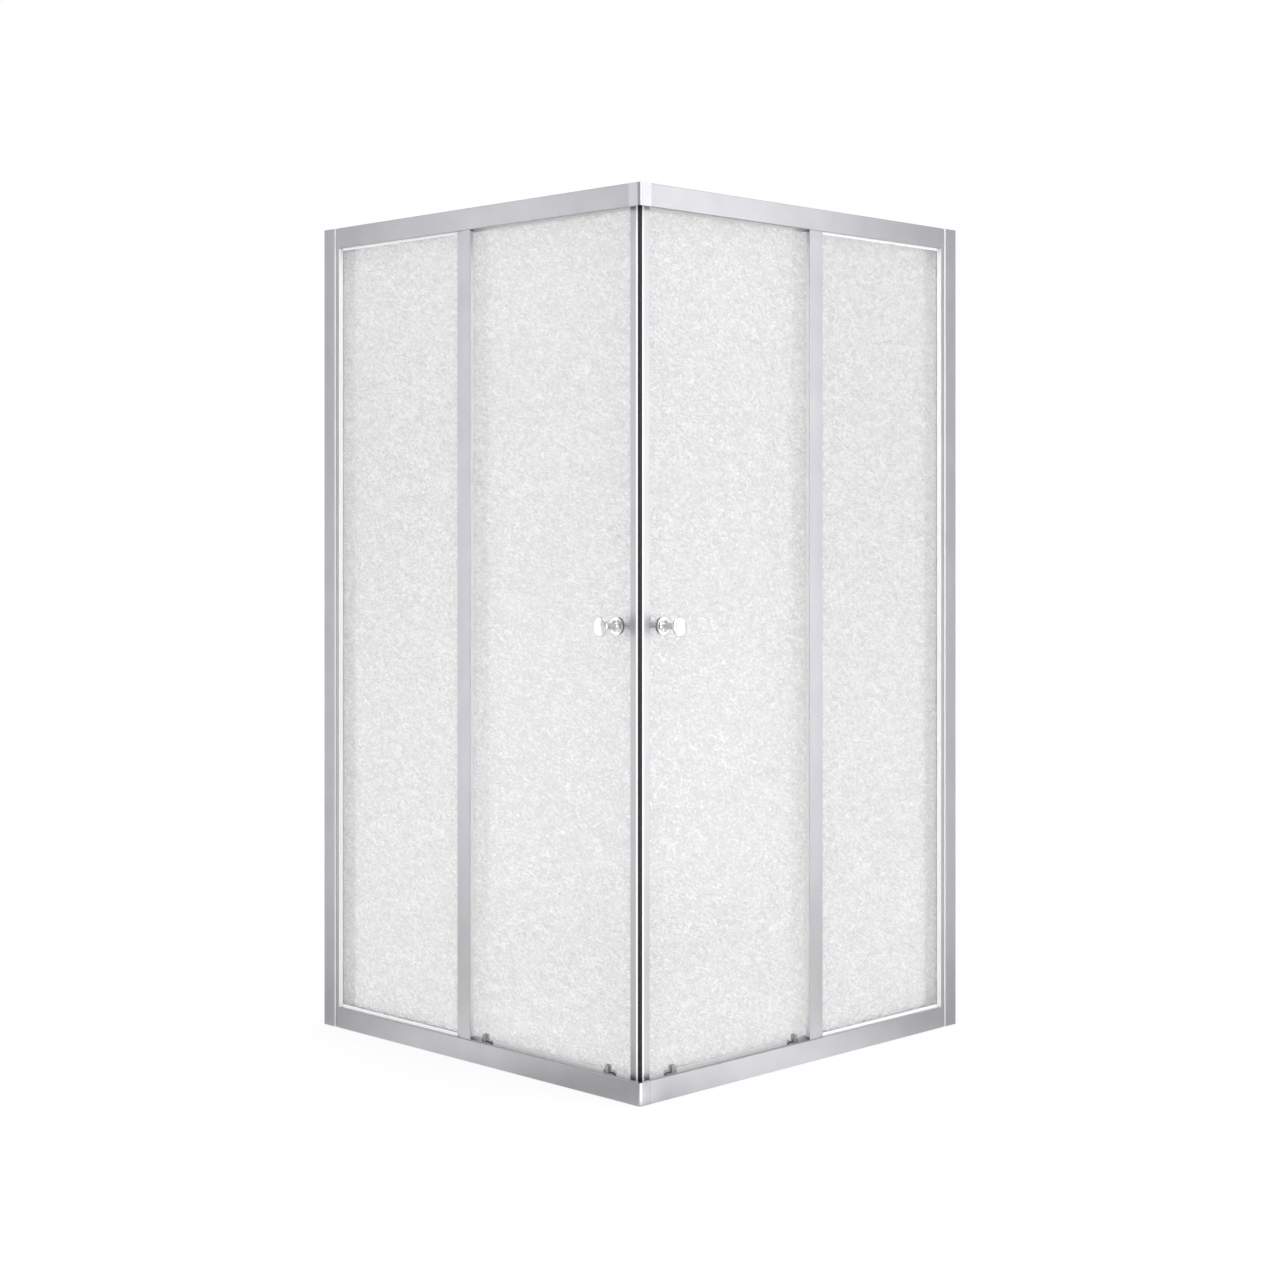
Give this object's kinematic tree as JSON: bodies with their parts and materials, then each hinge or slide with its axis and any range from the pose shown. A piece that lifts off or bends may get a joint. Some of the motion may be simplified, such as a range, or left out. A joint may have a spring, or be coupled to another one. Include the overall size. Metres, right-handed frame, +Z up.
{
  "type": "corner shower enclosure",
  "caption": "Square corner shower enclosure of textured glass in satin aluminium rails, with fixed panes by the walls and sliding doors that meet at a magnetic corner seal.",
  "frame": {"origin": "on the floor under the middle of the whole enclosure, knobs included", "axes": "+Z up; the left side faces -Y and the right side faces +X, so the outer corner is towards +X -Y"},
  "size_m": [0.919, 0.919, 1.6],
  "materials": {
    "satin_aluminium": "satin anodised",
    "painted_corner": "satin silver",
    "textured_glass": "hammered relief, toughened",
    "polished_chrome": "polished",
    "clear_seal": "frosted PVC",
    "white_carrier": "extruded PVC",
    "black_rubber": "smooth",
    "grey_nylon": "moulded",
    "steel": "plain"
  },
  "bodies": {
    "frame": {"bottom_corner_joint": "painted_corner", "door_stops": "black_rubber", "fixed_glass_gaskets": "clear_seal", "frame_screws": "steel", "left_bottom_rail": "satin_aluminium", "left_fixed_glass": "textured_glass", "left_jamb": "satin_aluminium", "left_post": "satin_aluminium", "left_top_rail": "satin_aluminium", "left_wall_profile": "satin_aluminium", "post_seals": "clear_seal", "right_bottom_rail": "satin_aluminium", "right_fixed_glass": "textured_glass", "right_jamb": "satin_aluminium", "right_post": "satin_aluminium", "right_top_rail": "satin_aluminium", "right_wall_profile": "satin_aluminium", "top_corner_joint": "painted_corner"},
    "left_door": {"left_door_glass": "textured_glass", "left_front_stile": "satin_aluminium", "left_rear_stile": "satin_aluminium", "left_door_glass_seals": "clear_seal", "left_magnet_carrier": "white_carrier", "left_magnet_strip": "black_rubber", "left_outer_knob": "polished_chrome", "left_inner_knob": "polished_chrome", "left_knob_stud": "steel", "left_knob_washers": "clear_seal", "left_roller_caps": "grey_nylon", "left_top_roller_axles": "steel", "left_bottom_roller_housings": "grey_nylon", "left_lead_plunger_spring": "steel", "left_trail_plunger_spring": "steel"},
    "left_lead_top_roller": {"left_lead_top_roller": "grey_nylon"},
    "left_lead_release_plunger": {"left_lead_release_plunger": "grey_nylon"},
    "left_lead_bottom_roller": {"left_lead_bottom_roller": "grey_nylon"},
    "left_trail_top_roller": {"left_trail_top_roller": "grey_nylon"},
    "left_trail_release_plunger": {"left_trail_release_plunger": "grey_nylon"},
    "left_trail_bottom_roller": {"left_trail_bottom_roller": "grey_nylon"},
    "right_door": {"right_door_glass": "textured_glass", "right_front_stile": "satin_aluminium", "right_rear_stile": "satin_aluminium", "right_door_glass_seals": "clear_seal", "right_magnet_carrier": "white_carrier", "right_magnet_strip": "black_rubber", "right_outer_knob": "polished_chrome", "right_inner_knob": "polished_chrome", "right_knob_stud": "steel", "right_knob_washers": "clear_seal", "right_roller_caps": "grey_nylon", "right_top_roller_axles": "steel", "right_bottom_roller_housings": "grey_nylon", "right_lead_plunger_spring": "steel", "right_trail_plunger_spring": "steel"},
    "right_lead_top_roller": {"right_lead_top_roller": "grey_nylon"},
    "right_lead_release_plunger": {"right_lead_release_plunger": "grey_nylon"},
    "right_lead_bottom_roller": {"right_lead_bottom_roller": "grey_nylon"},
    "right_trail_top_roller": {"right_trail_top_roller": "grey_nylon"},
    "right_trail_release_plunger": {"right_trail_release_plunger": "grey_nylon"},
    "right_trail_bottom_roller": {"right_trail_bottom_roller": "grey_nylon"}
  },
  "joints": [
    {"name": "left_door_slide", "type": "slide", "parent": "frame", "child": "left_door", "axis": [-1, 0, 0], "range_m": [0, 0.34]},
    {"name": "left_lead_top_roller_spin", "type": "hinge", "parent": "left_door", "child": "left_lead_top_roller", "pos_m": [0.3305, -0.4, 1.5788], "axis": [0, 1, 0], "continuous": true},
    {"name": "left_lead_release", "type": "slide", "parent": "left_door", "child": "left_lead_release_plunger", "axis": [0, 0, -1], "range_m": [0, 0.0055], "stiffness_N_per_m": 400, "springref_m": -0.004, "deforming": ["left_lead_plunger_spring"]},
    {"name": "left_lead_bottom_roller_spin", "type": "hinge", "parent": "left_lead_release_plunger", "child": "left_lead_bottom_roller", "pos_m": [0.3305, -0.4, 0.0232], "axis": [0, 1, 0], "continuous": true},
    {"name": "left_trail_top_roller_spin", "type": "hinge", "parent": "left_door", "child": "left_trail_top_roller", "pos_m": [0.0015, -0.4, 1.5788], "axis": [0, 1, 0], "continuous": true},
    {"name": "left_trail_release", "type": "slide", "parent": "left_door", "child": "left_trail_release_plunger", "axis": [0, 0, -1], "range_m": [0, 0.0055], "stiffness_N_per_m": 400, "springref_m": -0.004, "deforming": ["left_trail_plunger_spring"]},
    {"name": "left_trail_bottom_roller_spin", "type": "hinge", "parent": "left_trail_release_plunger", "child": "left_trail_bottom_roller", "pos_m": [0.0015, -0.4, 0.0232], "axis": [0, 1, 0], "continuous": true},
    {"name": "right_door_slide", "type": "slide", "parent": "frame", "child": "right_door", "axis": [0, 1, 0], "range_m": [0, 0.34]},
    {"name": "right_lead_top_roller_spin", "type": "hinge", "parent": "right_door", "child": "right_lead_top_roller", "pos_m": [0.4, -0.3305, 1.5788], "axis": [1, 0, 0], "continuous": true},
    {"name": "right_lead_release", "type": "slide", "parent": "right_door", "child": "right_lead_release_plunger", "axis": [0, 0, -1], "range_m": [0, 0.0055], "stiffness_N_per_m": 400, "springref_m": -0.004, "deforming": ["right_lead_plunger_spring"]},
    {"name": "right_lead_bottom_roller_spin", "type": "hinge", "parent": "right_lead_release_plunger", "child": "right_lead_bottom_roller", "pos_m": [0.4, -0.3305, 0.0232], "axis": [1, 0, 0], "continuous": true},
    {"name": "right_trail_top_roller_spin", "type": "hinge", "parent": "right_door", "child": "right_trail_top_roller", "pos_m": [0.4, -0.0015, 1.5788], "axis": [1, 0, 0], "continuous": true},
    {"name": "right_trail_release", "type": "slide", "parent": "right_door", "child": "right_trail_release_plunger", "axis": [0, 0, -1], "range_m": [0, 0.0055], "stiffness_N_per_m": 400, "springref_m": -0.004, "deforming": ["right_trail_plunger_spring"]},
    {"name": "right_trail_bottom_roller_spin", "type": "hinge", "parent": "right_trail_release_plunger", "child": "right_trail_bottom_roller", "pos_m": [0.4, -0.0015, 0.0232], "axis": [1, 0, 0], "continuous": true}
  ],
  "couplings": [
    {"joint": "left_lead_top_roller_spin", "follows": "left_door_slide", "rad_per_m": -105.26},
    {"joint": "left_lead_bottom_roller_spin", "follows": "left_door_slide", "rad_per_m": 133.33},
    {"joint": "left_trail_top_roller_spin", "follows": "left_door_slide", "rad_per_m": -105.26},
    {"joint": "left_trail_bottom_roller_spin", "follows": "left_door_slide", "rad_per_m": 133.33},
    {"joint": "right_lead_top_roller_spin", "follows": "right_door_slide", "rad_per_m": -105.26},
    {"joint": "right_lead_bottom_roller_spin", "follows": "right_door_slide", "rad_per_m": 133.33},
    {"joint": "right_trail_top_roller_spin", "follows": "right_door_slide", "rad_per_m": -105.26},
    {"joint": "right_trail_bottom_roller_spin", "follows": "right_door_slide", "rad_per_m": 133.33}
  ]
}
